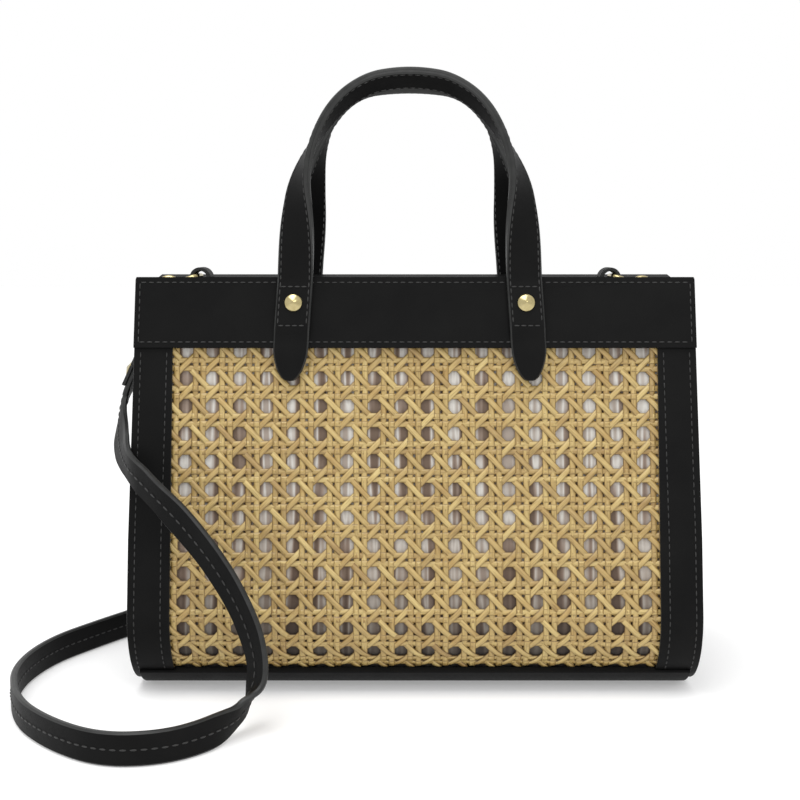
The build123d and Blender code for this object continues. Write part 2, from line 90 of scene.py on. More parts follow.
def tangents(points):
    # the way along a path at each of its points
    n = len(points)
    return [(points[min(i + 1, n - 1)] - points[max(i - 1, 0)]).normalized() for i in range(n)]


def addRibbon(bm, centres, acrosses, outs, widths, thick, above, below):
    # a leather strip, its edges rounded by above on the outer face and below on the inner one
    uvLayer = bm.loops.layers.uv.verify()
    sides = [-1, -0.62, 0, 0.62, 1]
    count = 2 * len(sides) + 4  # points round the section
    edgeFaces = (4, 5, 6, 11, 12, 13)  # the faces round it that get material 1
    n = len(centres)
    grid = bmesh.ops.create_grid(bm, x_segments=n - 1, y_segments=count, size=0.5)["verts"]
    grid.sort(key=lambda v: (round(v.co.x, 5), round(v.co.y, 5)))
    run = [0.0]
    for a, b in zip(centres, centres[1:]):
        run.append(run[-1] + (b - a).length)
    place = {}
    for i in range(n):
        w, t = widths[i] / 2, thick / 2
        top, low = min(above, w * 0.6), min(below, w * 0.6)  # less at a narrow tip
        ring = [(s * (w - top), t) for s in sides] + [(w, t - top), (w, -t + low)]
        ring += [(-s * (w - low), -t) for s in sides] + [(-w, -t + low), (-w, t - top)]
        for j in range(count + 1):
            a, b = ring[j % count]
            v = grid[i * (count + 1) + j]
            v.co = centres[i] + acrosses[i] * a + outs[i] * b
            place[v] = (j, run[i])  # how far round and how far along
    faces = {f for v in grid for f in v.link_faces}
    for f in faces:
        f.material_index = 1 if min(place[v][0] for v in f.verts) in edgeFaces else 0
        for loop in f.loops:
            j, along = place[loop.vert]
            loop[uvLayer].uv = (j / count, along)
    bmesh.ops.remove_doubles(bm, verts=grid, dist=1e-6)
    ends = [e for e in bm.edges if e.is_boundary]
    bmesh.ops.holes_fill(bm, edges=ends, sides=0)


def addStitch(bm, place, along, out, size):
    # one short rounded thread that lies along the seam
    side = along.cross(out).normalized()
    out = side.cross(along).normalized()
    turn = Matrix((along, side, out)).transposed().to_4x4()
    scale = Matrix.Diagonal((size[0] / 2, size[1] / 2, size[2] / 2, 1))
    endOn = Matrix.Rotation(math.pi / 2, 4, "Y")
    bmesh.ops.create_uvsphere(bm, u_segments=8, v_segments=4, radius=1.0,
                              matrix=Matrix.Translation(place) @ turn @ scale @ endOn)


def joinInto(bm, part):
    # adds a small bmesh to a larger one
    mesh = bpy.data.meshes.new("part")
    part.to_mesh(mesh)
    part.free()
    bm.from_mesh(mesh)
    bpy.data.meshes.remove(mesh)


def addStitchRow(whole, points, outs, pitch, size):
    # stitches at an even pitch along a line of points
    bm = bmesh.new()
    run = 0.0
    nextAt = pitch / 2
    for a, b, outA, outB in zip(points, points[1:], outs, outs[1:]):
        length = (b - a).length
        while nextAt < run + length and length > 0:
            share = (nextAt - run) / length
            out = outA.lerp(outB, share).normalized()
            addStitch(bm, a.lerp(b, share), (b - a).normalized(), out, size)
            nextAt += pitch
        run += length
    joinInto(whole, bm)


def newMaterial(name):
    # the material, its nodes and links, and its shader
    mat = bpy.data.materials.new(name)
    mat.use_nodes = True
    nodes, links = mat.node_tree.nodes, mat.node_tree.links
    return mat, nodes, links, nodes["Principled BSDF"]


def objectCoords(nodes, links, scale=(1, 1, 1)):
    # the piece's own coordinates, so that a material moves with it
    coords = nodes.new("ShaderNodeTexCoord")
    mapping = nodes.new("ShaderNodeMapping")
    mapping.inputs["Scale"].default_value = scale
    links.new(coords.outputs["Object"], mapping.inputs["Vector"])
    return mapping.outputs["Vector"]


def noiseNode(nodes, links, vector, scale, detail=3.0, rough=0.5):
    tex = nodes.new("ShaderNodeTexNoise")
    tex.inputs["Scale"].default_value = scale
    tex.inputs["Detail"].default_value = detail
    tex.inputs["Roughness"].default_value = rough
    links.new(vector, tex.inputs["Vector"])
    return tex.outputs["Fac"]


def rampNode(nodes, links, fac, stops):
    ramp = nodes.new("ShaderNodeValToRGB")
    while len(ramp.color_ramp.elements) < len(stops):
        ramp.color_ramp.elements.new(0.5)
    for element, (place, colour) in zip(ramp.color_ramp.elements, stops):
        element.position = place
        element.color = (*colour, 1)
    links.new(fac, ramp.inputs["Fac"])
    return ramp.outputs["Color"]


def rangeNode(nodes, links, fac, low, high, fromLow=0.0, fromHigh=1.0):
    node = nodes.new("ShaderNodeMapRange")
    node.inputs["From Min"].default_value = fromLow
    node.inputs["From Max"].default_value = fromHigh
    node.inputs["To Min"].default_value = low
    node.inputs["To Max"].default_value = high
    links.new(fac, node.inputs["Value"])
    return node.outputs["Result"]


def bumpNode(nodes, links, height, strength, distance, normal=None):
    bump = nodes.new("ShaderNodeBump")
    bump.inputs["Strength"].default_value = strength
    bump.inputs["Distance"].default_value = distance
    links.new(height, bump.inputs["Height"])
    if normal is not None:
        links.new(normal, bump.inputs["Normal"])
    return bump.outputs["Normal"]


def mathNode(nodes, links, kind, a, b):
    node = nodes.new("ShaderNodeMath")
    node.operation = kind
    for socket, value in zip(node.inputs, (a, b)):
        if isinstance(value, (int, float)):
            socket.default_value = value
        else:
            links.new(value, socket)
    return node.outputs["Value"]


def multiplyNode(nodes, links, first, second):
    # one colour times another
    mix = nodes.new("ShaderNodeMix")
    mix.data_type = "RGBA"
    mix.blend_type = "MULTIPLY"
    mix.inputs["Factor"].default_value = 1.0
    links.new(first, mix.inputs["A"])
    links.new(second, mix.inputs["B"])
    return mix.outputs["Result"]


leather = {"dark": (0.0038, 0.0038, 0.0039), "light": (0.0058, 0.0058, 0.0057),
           "innerShadedDark": (0.0030, 0.0030, 0.0031), "innerShadedLight": (0.005, 0.005, 0.005), "innerGrain": 1.4,
           "shine": 0.075, "innerShine": 0.01, "roughLow": 0.45, "roughHigh": 0.58, "pores": 1500.0,
           "poreDepth": 0.00005}


def makeLeather(name, dark, light, grain, shine):
    # smooth hide: cloudy tone, fine pores and a slow unevenness
    mat, nodes, links, shader = newMaterial(name)
    vector = objectCoords(nodes, links)
    cloudy = noiseNode(nodes, links, vector, 45.0, 4.0)
    links.new(rampNode(nodes, links, cloudy, [(0.3, dark), (0.72, light)]), shader.inputs["Base Color"])
    pores = nodes.new("ShaderNodeTexVoronoi")
    pores.inputs["Scale"].default_value = leather["pores"]
    links.new(vector, pores.inputs["Vector"])
    fine = noiseNode(nodes, links, vector, 2600.0, 2.0)
    wide = noiseNode(nodes, links, vector, 120.0, 3.0)
    height = mathNode(nodes, links, "ADD", pores.outputs["Distance"], fine)
    normal = bumpNode(nodes, links, height, 0.35 * grain, leather["poreDepth"])
    normal = bumpNode(nodes, links, wide, 0.25, 0.0004, normal)
    links.new(normal, shader.inputs["Normal"])
    rough = rangeNode(nodes, links, mathNode(nodes, links, "MULTIPLY", wide, pores.outputs["Distance"]),
                      leather["roughLow"], leather["roughHigh"], 0.0, 0.5)
    links.new(rough, shader.inputs["Roughness"])
    shader.inputs["Specular IOR Level"].default_value = shine
    return mat


def makeEdgePaint():
    # the glossy paint on cut leather edges
    mat, nodes, links, shader = newMaterial("paintedEdge")
    vector = objectCoords(nodes, links)
    waves = noiseNode(nodes, links, vector, 260.0, 3.0)
    links.new(rampNode(nodes, links, waves, [(0.3, (0.013, 0.0135, 0.013)), (0.7, (0.022, 0.0225, 0.022))]),
              shader.inputs["Base Color"])
    links.new(rangeNode(nodes, links, waves, 0.36, 0.5), shader.inputs["Roughness"])
    links.new(bumpNode(nodes, links, waves, 0.35, 0.0003), shader.inputs["Normal"])
    shader.inputs["Specular IOR Level"].default_value = 0.3
    shader.inputs["Coat Weight"].default_value = 0.05
    shader.inputs["Coat Roughness"].default_value = 0.35
    return mat


def makeThread():
    # waxed thread, its twist as fine bands
    mat, nodes, links, shader = newMaterial("stitchThread")
    vector = objectCoords(nodes, links)
    twist = nodes.new("ShaderNodeTexWave")
    twist.inputs["Scale"].default_value = 900.0
    twist.inputs["Distortion"].default_value = 1.5
    links.new(vector, twist.inputs["Vector"])
    colour = rampNode(nodes, links, twist.outputs["Fac"], [
        (0.2, (0.005, 0.005, 0.005)), (0.8, (0.017, 0.017, 0.016))])
    links.new(colour, shader.inputs["Base Color"])
    links.new(bumpNode(nodes, links, twist.outputs["Fac"], 0.5, 0.0001), shader.inputs["Normal"])
    shader.inputs["Roughness"].default_value = 0.5
    return mat


def makeBrass():
    # pale brushed brass
    mat, nodes, links, shader = newMaterial("brass")
    vector = objectCoords(nodes, links)
    clouds = noiseNode(nodes, links, vector, 400.0, 4.0)
    links.new(rampNode(nodes, links, clouds, [(0.3, (0.40, 0.335, 0.165)), (0.7, (0.50, 0.425, 0.225))]),
              shader.inputs["Base Color"])
    links.new(rangeNode(nodes, links, clouds, 0.16, 0.3), shader.inputs["Roughness"])
    scratches = noiseNode(nodes, links, objectCoords(nodes, links, (1, 1, 9)), 1800.0, 2.0)
    links.new(bumpNode(nodes, links, scratches, 0.08, 0.00004), shader.inputs["Normal"])
    shader.inputs["Metallic"].default_value = 1.0
    return mat


def makeCane():
    # fibre streaks run along each strand by its UV map; each strand has a tone of its own
    mat, nodes, links, shader = newMaterial("caneStrand")
    uv = nodes.new("ShaderNodeUVMap")
    uv.uv_map = "strandUV"
    mapping = nodes.new("ShaderNodeMapping")
    mapping.inputs["Scale"].default_value = (1.0, 0.055, 1.0)
    links.new(uv.outputs["UV"], mapping.inputs["Vector"])
    streaks = noiseNode(nodes, links, mapping.outputs["Vector"], 2300.0, 3.0, 0.6)
    along = nodes.new("ShaderNodeMapping")
    along.inputs["Scale"].default_value = (0.25, 1.0, 1.0)
    links.new(uv.outputs["UV"], along.inputs["Vector"])
    patches = noiseNode(nodes, links, along.outputs["Vector"], 75.0, 3.0)
    tone = nodes.new("ShaderNodeAttribute")
    tone.attribute_name = "strandTone"
    edge = nodes.new("ShaderNodeAttribute")
    edge.attribute_name = "strandSide"
    toneColour = rampNode(nodes, links, tone.outputs["Fac"], [
        (0.0, (0.34, 0.215, 0.095)), (0.3, (0.385, 0.27, 0.1)), (0.6, (0.455, 0.33, 0.125)),
        (1.0, (0.56, 0.435, 0.18))])
    streakColour = rampNode(nodes, links, streaks, [
        (0.28, (0.55, 0.5, 0.4)), (0.5, (0.95, 0.93, 0.9)), (0.75, (1.06, 1.05, 1.0))])
    patchColour = rampNode(nodes, links, patches, [
        (0.25, (0.78, 0.68, 0.55)), (0.55, (1, 1, 1)), (0.8, (1.04, 1.02, 0.98))])
    edgeShadeColour = rampNode(nodes, links, edge.outputs["Fac"], [  # painted shade: the strands darken towards their sides and on their cut edges, standing in for the contact shade where they cross and touch
        (0.68, (1, 1, 1)), (0.9, (0.66, 0.6, 0.5)), (1.0, (0.3, 0.24, 0.16))])
    colour = multiplyNode(nodes, links, toneColour, streakColour)
    colour = multiplyNode(nodes, links, colour, patchColour)
    colour = multiplyNode(nodes, links, colour, edgeShadeColour)
    links.new(colour, shader.inputs["Base Color"])
    links.new(rangeNode(nodes, links, streaks, 0.34, 0.5), shader.inputs["Roughness"])
    links.new(bumpNode(nodes, links, streaks, 0.3, 0.00012), shader.inputs["Normal"])
    shader.inputs["Coat Weight"].default_value = 0.12
    shader.inputs["Coat Roughness"].default_value = 0.3
    return mat


def makeLining():
    # woven stripes that run up the cloth on every wall
    mat, nodes, links, shader = newMaterial("stripedLining")
    coords = nodes.new("ShaderNodeTexCoord")
    apart = nodes.new("ShaderNodeSeparateXYZ")
    links.new(coords.outputs["Object"], apart.inputs["Vector"])
    geometry = nodes.new("ShaderNodeNewGeometry")
    facing = nodes.new("ShaderNodeSeparateXYZ")
    links.new(geometry.outputs["True Normal"], facing.inputs["Vector"])
    lean = mathNode(nodes, links, "ABSOLUTE", facing.outputs["X"], 0.0)
    sideways = mathNode(nodes, links, "GREATER_THAN", lean, 0.6)
    pick = nodes.new("ShaderNodeMix")
    links.new(sideways, pick.inputs["Factor"])
    links.new(apart.outputs["X"], pick.inputs["A"])
    links.new(apart.outputs["Y"], pick.inputs["B"])
    across = nodes.new("ShaderNodeCombineXYZ")
    links.new(pick.outputs["Result"], across.inputs["X"])
    links.new(mathNode(nodes, links, "MULTIPLY", apart.outputs["Z"], 0.06), across.inputs["Y"])
    stripes = noiseNode(nodes, links, across.outputs["Vector"], 210.0, 1.0, 0.4)
    stripeColour = rampNode(nodes, links, stripes, [
        (0.38, (0.12, 0.08, 0.055)), (0.46, (0.25, 0.19, 0.15)), (0.54, (0.56, 0.54, 0.5)),
        (0.64, (0.30, 0.25, 0.21))])
    weave = noiseNode(nodes, links, objectCoords(nodes, links), 1500.0, 2.0)
    rise = rangeNode(nodes, links, apart.outputs["Z"], 0.0, 1.0, 0.0, 0.2)
    riseColour = rampNode(nodes, links, rise, [  # less light reaches the cloth near the bag's floor
        (0.1, (0.1, 0.085, 0.07)), (0.3, (0.75, 0.7, 0.66)), (0.5, (1, 1, 1))])
    links.new(multiplyNode(nodes, links, stripeColour, riseColour), shader.inputs["Base Color"])
    links.new(bumpNode(nodes, links, weave, 0.4, 0.0002), shader.inputs["Normal"])
    shader.inputs["Roughness"].default_value = 0.85
    shader.inputs["Sheen Weight"].default_value = 0.15
    return mat


def makeBoard():
    # dull grey fibre board
    mat, nodes, links, shader = newMaterial("stiffeningBoard")
    vector = objectCoords(nodes, links)
    fibres = noiseNode(nodes, links, vector, 700.0, 4.0)
    links.new(rampNode(nodes, links, fibres, [(0.3, (0.03, 0.028, 0.026)), (0.7, (0.06, 0.056, 0.05))]),
              shader.inputs["Base Color"])
    links.new(bumpNode(nodes, links, fibres, 0.3, 0.0002), shader.inputs["Normal"])
    shader.inputs["Roughness"].default_value = 0.8
    return mat


print("materials")
blackLeather = makeLeather("blackLeather", leather["dark"], leather["light"], 1.0, leather["shine"])
# the handle's inner layer: a darker, almost shineless copy of the black leather, painted shade for the shade
# under the handle
shadedInnerLeather = makeLeather("shadedInnerLeather", leather["innerShadedDark"], leather["innerShadedLight"], leather["innerGrain"],
                           leather["innerShine"])
paintedEdge = makeEdgePaint()
stitchThread = makeThread()
brass = makeBrass()
caneStrand = makeCane()
stripedLining = makeLining()
stiffeningBoard = makeBoard()


# the front wall's section: straight down from the mouth, then rolled under to the base
wall = {"mouthY": -0.029, "mouthZ": 0.197, "baseDepth": 0.118, "roll": 0.034, "baseLeather": 0.0018,
        "half": 0.1343, "mouthHalf": 0.132, "taperStart": 0.075, "band": 0.0016}
rollY = wall["roll"] - wall["baseDepth"] / 2
rollZ = wall["baseLeather"] + wall["roll"]
reachToRoll = math.dist((wall["mouthY"], wall["mouthZ"]), (rollY, rollZ))
straight = math.sqrt(reachToRoll ** 2 - wall["roll"] ** 2)
downAngle = math.atan2(rollZ - wall["mouthZ"], rollY - wall["mouthY"]) - math.asin(wall["roll"] / reachToRoll)
downY, downZ = math.cos(downAngle), math.sin(downAngle)


def wallPoint(x, run, depth, back=False):
    # the point so far down the front wall and so deep in it, and its outward way; the back wall mirrors it
    if run <= straight:
        y = wall["mouthY"] + downY * run - downZ * depth
        z = wall["mouthZ"] + downZ * run + downY * depth
        out = Vector((0, downZ, -downY))
    else:
        angle = math.pi - math.asin(-downY) + (run - straight) / wall["roll"]
        y = rollY + (wall["roll"] - depth) * math.cos(angle)
        z = rollZ + (wall["roll"] - depth) * math.sin(angle)
        out = Vector((0, math.cos(angle), math.sin(angle)))
    if back:
        return Vector((x, -y, z)), Vector((0, -out.y, out.z))
    return Vector((x, y, z)), out


def edgeHalf(z):
    # half the bag's width at this height
    if z < wall["taperStart"]:
        return wall["half"]
    share = (z - wall["taperStart"]) / (wall["mouthZ"] + wall["band"] - wall["taperStart"])
    return wall["half"] + (wall["mouthHalf"] - wall["half"]) * share


strap = {"width": 0.0145, "thick": 0.003, "rounding": 0.0008, "length": 0.98, "pitch": 0.0043,
         "stitch": (0.003, 0.0009, 0.0006), "stitchLift": 0.0001, "bareEnd": 14}
strapRoute = [  # each control point, and the way the width points there
    ((-0.133338, 0, 0.162598), (0, -1, 0)), ((-0.1428, 0, 0.1423), (0, -1, 0)),
    ((-0.1466, 0, 0.1335), (0.2, -1, 0.05)), ((-0.1446, -0.0175, 0.1195), (0.36, -0.93, 0)),
    ((-0.1344, -0.0515, 0.1120), (0.4, -0.86, 0.32)), ((-0.1225, -0.066, 0.1045), (0.66, -0.6, 0.45)),
    ((-0.106, -0.073, 0.090), (0.8, -0.42, 0.42)), ((-0.088, -0.080, 0.070), (0.82, -0.5, 0.33)),
    ((-0.074, -0.085, 0.046), (0.8, -0.6, 0.2)), ((-0.068, -0.090, 0.023), (0.62, -0.75, 0.15)),
    ((-0.076, -0.099, 0.009), (0.1, -0.6, 0.8)), ((-0.086, -0.117, 0.00755), (0, 0.1, 1)),
    ((-0.104, -0.132, 0.00755), (0, 0, 1)), ((-0.130, -0.134, 0.00755), (0, 0, 1)),
    ((-0.157, -0.115, 0.00755), (0, 0, 1)), ((-0.178, -0.089, 0.00755), (0, 0, 1)),
    ((-0.191, -0.050, 0.00755), (0, 0, 1)), ((-0.186, -0.010, 0.00755), (0, 0, 1)),
    ((-0.167, 0.022, 0.00755), (0, 0, 1)), ((-0.151, 0.046, 0.00755), (0, 0, 1)),
    ((-0.138, 0.070, 0.00755), (0, 0, 1)), ((-0.112, 0.088, 0.00755), (0, 0, 1)),
    ((-0.072, 0.093, 0.00755), (0, 0, 1)), ((-0.010, 0.088, 0.00755), (0, 0, 1)),
    ((0.050, 0.093, 0.00755), (0, 0, 1)), ((0.095, 0.090, 0.00955), (0, 0, 1)),
    ((0.129, 0.080, 0.024), (0, 0.25, 1)), ((0.144, 0.061, 0.050), (0, 0.6, 0.8)),
    ((0.145, 0.038, 0.082), (0, 0.85, 0.5)), ((0.1415, 0.010, 0.117), (0, 1, 0.15)),
    ((0.137582, 0, 0.13313), (0, 1, 0)), ((0.1333, 0, 0.1422), (0, 1, 0)),
    ((0.12389, 0, 0.162495), (0, 1, 0))]


def blendedWidths(route, count):
    # the width's way at each point of the smooth path, between its control points
    last = len(route) - 2
    places = [0.0] + [i - 0.5 for i in range(1, len(route) - 1)] + [float(last)]
    ways = []
    for k in range(count):
        u = last * k / (count - 1)
        i = max(j for j in range(len(places)) if places[j] <= u + 1e-9)
        i = min(i, len(places) - 2)
        share = (u - places[i]) / (places[i + 1] - places[i])
        share = share * share * (3 - 2 * share)
        ways.append(Vector(route[i][1]).normalized().lerp(Vector(route[i + 1][1]).normalized(), share))
    return ways


print("shoulder strap")
strapPath = smoothPath([c for c, w in strapRoute])
strapAlong = tangents(strapPath)
strapWays = blendedWidths(strapRoute, len(strapPath))
strapWays = [(w - t * w.dot(t)).normalized() for w, t in zip(strapWays, strapAlong)]
strapOuts = [t.cross(w) for w, t in zip(strapWays, strapAlong)]
bm = bmesh.new()
addRibbon(bm, strapPath, strapWays, strapOuts, [strap["width"]] * len(strapPath), strap["thick"],
          strap["rounding"], strap["rounding"])
strapPiece = makePiece("shoulderStrap", bm, [blackLeather, paintedEdge])
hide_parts("shoulder_strap")

bm = bmesh.new()
stitched = slice(strap["bareEnd"], -strap["bareEnd"])  # the folded ends cover the rest
for side in (-1, 1):
    lift = strap["thick"] / 2 + strap["stitchLift"]
    rows = [p + o * (side * lift) for p, o in zip(strapPath, strapOuts)]
    addStitchRow(bm, rows[stitched], [o * side for o in strapOuts][stitched], strap["pitch"], strap["stitch"])
strapStitches = makePiece("shoulderStrapStitches", bm, [stitchThread])


# the weave, laid out on the unrolled panel: x across it, s down from the mouth; holes come at across and down
cane = {"across": 0.0127, "down": 0.0131, "middleX": -0.0003, "firstRow": 0.0478, "columns": 18,
        "rows": (-2, 13), "slants": (-16, 34), "start": 0.026, "end": straight + 0.0335, "half": 0.1205,
        "strand": 0.00282, "slantStrand": 0.97, "pairGap": 0.00185, "thick": 0.00068, "depth": 0.00205,
        "crossing": 0.62, "overUnder": 0.0004, "slantRise": 0.00058, "crown": 0.00007, "wander": 0.000448,
        "wanderPitch": 30, "wanderStep": 3.7, "widthChange": 0.07, "widthPitch": 60, "tone": (0.6, 0.18),
        "uvStep": 0.013, "step": 0.0016, "shortest": 0.006}


def caneWander(x, s, seed):
    # strands stray a little from their true lines
    place = Vector((x * cane["wanderPitch"], s * cane["wanderPitch"], seed * cane["wanderStep"]))
    v = noise.noise_vector(place)
    return v.x * cane["wander"], v.y * cane["wander"]


def addStrand(whole, start, end, height, seed, width):
    # one split-cane strand, laid from start to end on the unrolled panel and bent to the wall
    bm = bmesh.new()
    uvLayer = bm.loops.layers.uv.new("strandUV")
    toneLayer = bm.verts.layers.float.new("strandTone")
    sideLayer = bm.verts.layers.float.new("strandSide")
    uvOf = {}
    length = math.dist(start, end)
    steps = max(2, int(length / cane["step"]))
    grid = bmesh.ops.create_grid(bm, x_segments=steps, y_segments=2, size=0.5)["verts"]
    tone = min(1.0, max(0.0, random.gauss(*cane["tone"])))
    offset = random.random()
    ux, us = (end[0] - start[0]) / length, (end[1] - start[1]) / length
    for v in grid:
        share, side = v.co.x + 0.5, v.co.y * 2
        x, s = start[0] + (end[0] - start[0]) * share, start[1] + (end[1] - start[1]) * share
        strayX, strayS = caneWander(x, s, seed)
        change = noise.noise(Vector((share * length * cane["widthPitch"], seed, 0)))
        half = width / 2 * (1 + cane["widthChange"] * change)
        px = x + strayX - us * side * half
        ps = s + strayS + ux * side * half
        crown = cane["crown"] * (1 - side * side)
        v[toneLayer] = tone
        v[sideLayer] = abs(side)
        v.co = wallPoint(px, ps, cane["depth"] - height(x, s) - crown)[0]
        uvOf[v] = (side * half + seed * cane["uvStep"] + offset, share * length + offset * 3)
    for f in bm.faces:
        for loop in f.loops:
            loop[uvLayer].uv = uvOf[loop.vert]
    joinInto(whole, bm)


print("woven cane")
bm = bmesh.new()
bm.loops.layers.uv.new("strandUV")
bm.verts.layers.float.new("strandTone")
bm.verts.layers.float.new("strandSide")
pitchX, pitchS = cane["across"], cane["down"]


def holeX(i):
    # the middle of the i-th column of holes
    return cane["middleX"] + (i - (cane["columns"] - 1) / 2) * pitchX


def holeS(j):
    # the middle of the j-th row of holes
    return cane["firstRow"] + j * pitchS


def crossingHeight(side, holes):
    # over one strand of the pair that it crosses and under the other; holes counts holes along the strand
    place = holes % 1.0 - 0.5
    if abs(place) >= cane["crossing"] / 2:
        return 0.0
    return side * math.sin(math.tau * place / cane["crossing"]) * cane["overUnder"]


def uprightHeight(side):
    # height of an upright at (x, s) over the weave's middle
    return lambda x, s: crossingHeight(side, (s - cane["firstRow"]) / pitchS)


def levelHeight(side):
    # the same for a level strand
    return lambda x, s: crossingHeight(side, (x - holeX(0)) / pitchX)


def slantHeight(sign):
    # over the uprights and under the level strands, or the other way
    return lambda x, s: sign * math.cos(math.tau * (s - cane["firstRow"]) / pitchS) * cane["slantRise"]


seed = 0
for i in range(-1, cane["columns"]):
    for side in (-1, 1):
        seed += 1
        x = holeX(i) + pitchX / 2 + side * cane["pairGap"]
        if abs(x) < cane["half"]:
            addStrand(bm, (x, cane["start"]), (x, cane["end"]), uprightHeight(side), seed, cane["strand"])
for j in range(*cane["rows"]):
    for side in (-1, 1):
        seed += 1
        s = holeS(j) + pitchS / 2 + side * cane["pairGap"]
        if cane["start"] < s < cane["end"]:
            addStrand(bm, (-cane["half"], s), (cane["half"], s), levelHeight(side), seed, cane["strand"])
slope = pitchS / pitchX
for sign in (-1, 1):
    for k in range(*cane["slants"]):
        # each slant goes half-way between two holes of the first row, and is cut at the panel's edges
        seed += 1
        x0, s0 = holeX(k) + pitchX / 2, holeS(0)
        ends = []
        for x in (-cane["half"], cane["half"]):
            s = s0 + sign * slope * (x - x0)
            s = min(max(s, cane["start"]), cane["end"])
            ends.append((x0 + sign * (s - s0) / slope, s))
        if math.dist(*ends) > cane["shortest"]:
            addStrand(bm, ends[0], ends[1], slantHeight(sign), seed, cane["strand"] * cane["slantStrand"])
canePiece = makePiece("wovenCane", bm, [caneStrand], sharp=80)
solid = canePiece.modifiers.new("thickness", "SOLIDIFY")
solid.thickness = cane["thick"]
solid.offset = -1.0
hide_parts("front_cane_panel")


# each leg leans by splay degrees, and turns by twist degrees on its way up
handle = {"shift": -0.0025, "spacing": 0.1092, "drop": 0.0128, "width": 0.0165, "layer": 0.0018, "splay": 3.7,
          "twist": 108.0, "late": 1.9, "settle": 4.4, "outerRounding": 0.0007, "innerRounding": 0.0001,
          "liningEnd": 0.0252, "pastLining": (0.0245, 0.005, 0.0017), "pastBand": (0.033, 0.016, 0.0016),
          "edgeRow": 0.0067, "rowFoot": 0.1735, "stitchLift": 0.00002, "pitch": 0.0034,
          "stitch": (0.0025, 0.0007, 0.0004), "boxRows": (0.0052, 0.0236), "boxDepth": -0.0053,
          "boxPitch": 0.0032, "boxStitch": (0.0026, 0.0008, 0.0007)}
# the tab from its tip up, as (how far down the wall, width)
tabOutline = [(0.0491, 0.0026), (0.0489, 0.0046), (0.0485, 0.0058), (0.0478, 0.0074), (0.0467, 0.0091),
              (0.0452, 0.0109), (0.0435, 0.0125), (0.0415, 0.0139), (0.0395, 0.0150), (0.0375, 0.0158),
              (0.0355, 0.0163)]
tabOutline += [(run, handle["width"]) for run in (0.033, 0.0305, 0.028, 0.0265, 0.025, 0.022, 0.018, 0.0128,
                                                  0.008, 0.004)]
archRoutes = {  # control points from the mouth to the top of the right half
    "front": [(0.0540, -0.0323, 0.1945), (0.0534, -0.0331, 0.206), (0.0526, -0.0339, 0.224),
              (0.0514, -0.0350, 0.243), (0.0440, -0.0362, 0.2612), (0.0330, -0.0372, 0.2770),
              (0.0190, -0.0379, 0.2860), (0.0060, -0.0380, 0.2882)],
    "back": [(0.0540, -0.0323, 0.1945), (0.0532, -0.0331, 0.206), (0.0518, -0.0339, 0.224),
             (0.0500, -0.0350, 0.243), (0.0462, -0.0362, 0.263), (0.0376, -0.0372, 0.2810),
             (0.0252, -0.0379, 0.2912), (0.0090, -0.0380, 0.2935)]}


def ease(x):
    # from 0 to 1 with a smooth start and end
    x = min(1.0, max(0.0, x))
    return x * x * (3 - 2 * x)


def legX(run):
    # the middle of the right leg, so far down the wall
    return handle["spacing"] / 2 + (run - handle["drop"]) * math.tan(math.radians(handle["splay"]))


def handleStations(prefix, outer):
    # centre, width's way, outward way and width for each section, from one tab tip to the other
    slope = math.radians(handle["splay"])
    half = []
    for run, width in tabOutline:
        if not outer and run > handle["liningEnd"]:
            continue
        depth = -wall["band"] - handle["layer"] * (1.5 if outer else 0.5)
        if outer:
            # the tab comes down towards the wall past the lining's end, and again past the band's edge
            for start, over, sink in (handle["pastLining"], handle["pastBand"]):
                depth += sink * ease((run - start) / over)
        centre, out = wallPoint(legX(run), run, depth)
        up = Vector((-math.sin(slope), -downY * math.cos(slope), -downZ * math.cos(slope)))
        half.append((centre, out.cross(up), out, width))
    route = archRoutes[prefix]
    arch = smoothPath(route + [(-x, y, z) for x, y, z in reversed(route)], 10)
    middle = len(arch) // 2
    lengths = [0.0]
    for a, b in zip(arch, arch[1:middle + 1]):
        lengths.append(lengths[-1] + (b - a).length)
    ways = tangents(arch)
    shift = handle["layer"] / 2 * (1 if outer else -1)
    for i in range(1, middle + 1):
        along = ways[i]
        forward = Vector((0, -1, 0))
        forward = (forward - along * forward.dot(along)).normalized()
        inner = forward.cross(along)
        share = 1 - (1 - (lengths[i] / lengths[-1]) ** handle["late"]) ** handle["settle"]
        angle = math.radians(handle["twist"]) * share
        across = inner * math.cos(angle) + forward * math.sin(angle)
        out = forward * math.cos(angle) - inner * math.sin(angle)
        half.append((arch[i] + out * shift, across, out, handle["width"]))
    other = [(*(Vector((-v.x, v.y, v.z)) for v in (centre, across, out)), width)
             for centre, across, out, width in half[:-1]]
    return half + other[::-1]


def placeHandle(piece, back):
    # the handles sit a little off the middle; the back one mirrors the front one
    piece.data.transform(Matrix.Translation((handle["shift"], 0, 0)))
    if back:
        piece.data.transform(Matrix.Scale(-1, 4, (0, 1, 0)))
        piece.data.flip_normals()


